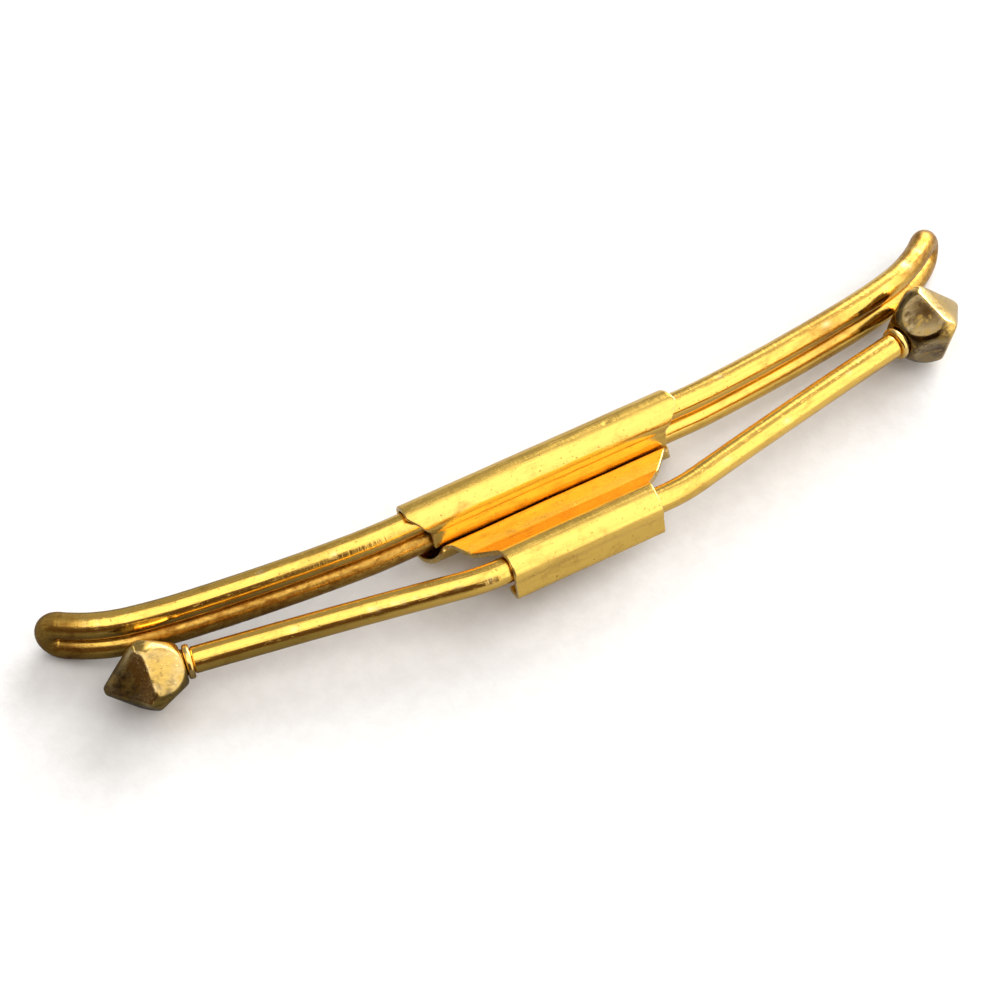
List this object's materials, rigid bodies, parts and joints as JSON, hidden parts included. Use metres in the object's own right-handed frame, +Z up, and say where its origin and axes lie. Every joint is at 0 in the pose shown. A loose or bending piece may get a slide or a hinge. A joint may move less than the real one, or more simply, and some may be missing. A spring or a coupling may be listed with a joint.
{
  "type": "collar bar",
  "caption": "Gold-tone spring collar bar: a slim front bar with faceted end knobs and a flared back loop of wire, both held in a folded sheet saddle, to grip two collar points.",
  "frame": {"origin": "on the table, under the middle of the collar bar's bounding box, as it lies on its two knobs and the two tips of its loop", "axes": "+X along the bar to the right as seen from the front bar, +Y from the front bar towards the back loop, +Z up from the table"},
  "size_m": [0.06, 0.0118, 0.0049],
  "materials": {
    "gold_sheet": "gold-plated sheet brass, bright with fine drawn lines and light wear",
    "gold_wire": "gold-plated brass wire, bright, with fine drawing lines and a few nicks",
    "gold_ring": "gold-plated brass, bright",
    "gold_knob": "gold-plated brass, worn to a duller olive gold on the facets"
  },
  "bodies": {
    "saddle_body": {"saddle": "gold_sheet", "loop_run_upper": "gold_wire", "loop_run_lower": "gold_wire", "bar_centre": "gold_wire"},
    "loop_left": {"loop_arm_left": "gold_wire"},
    "loop_right": {"loop_arm_right": "gold_wire"},
    "bar_left": {"bar_arm_left": "gold_wire", "ferrule_left": "gold_ring", "knob_left": "gold_knob"},
    "bar_right": {"bar_arm_right": "gold_wire", "ferrule_right": "gold_ring", "knob_right": "gold_knob"}
  },
  "joints": [
    {"name": "front_left_flex", "type": "hinge", "parent": "saddle_body", "child": "bar_left", "pos_m": [-0.0053, -0.00441, 0.00343], "axis": [0, 0.2433, 0.97], "range_deg": [0, 4], "stiffness_Nm_per_rad": 4.5},
    {"name": "front_right_flex", "type": "hinge", "parent": "saddle_body", "child": "bar_right", "pos_m": [0.0053, -0.00441, 0.00343], "axis": [0, -0.2433, -0.97], "range_deg": [0, 4], "stiffness_Nm_per_rad": 4.5},
    {"name": "loop_left_flex", "type": "hinge", "parent": "saddle_body", "child": "loop_left", "pos_m": [-0.0089, 0.00077, 0.00252], "axis": [0, -0.2433, -0.97], "range_deg": [0, 3], "stiffness_Nm_per_rad": 8.9},
    {"name": "loop_right_flex", "type": "hinge", "parent": "saddle_body", "child": "loop_right", "pos_m": [0.0089, 0.00077, 0.00252], "axis": [0, 0.2433, 0.97], "range_deg": [0, 3], "stiffness_Nm_per_rad": 8.9}
  ]
}
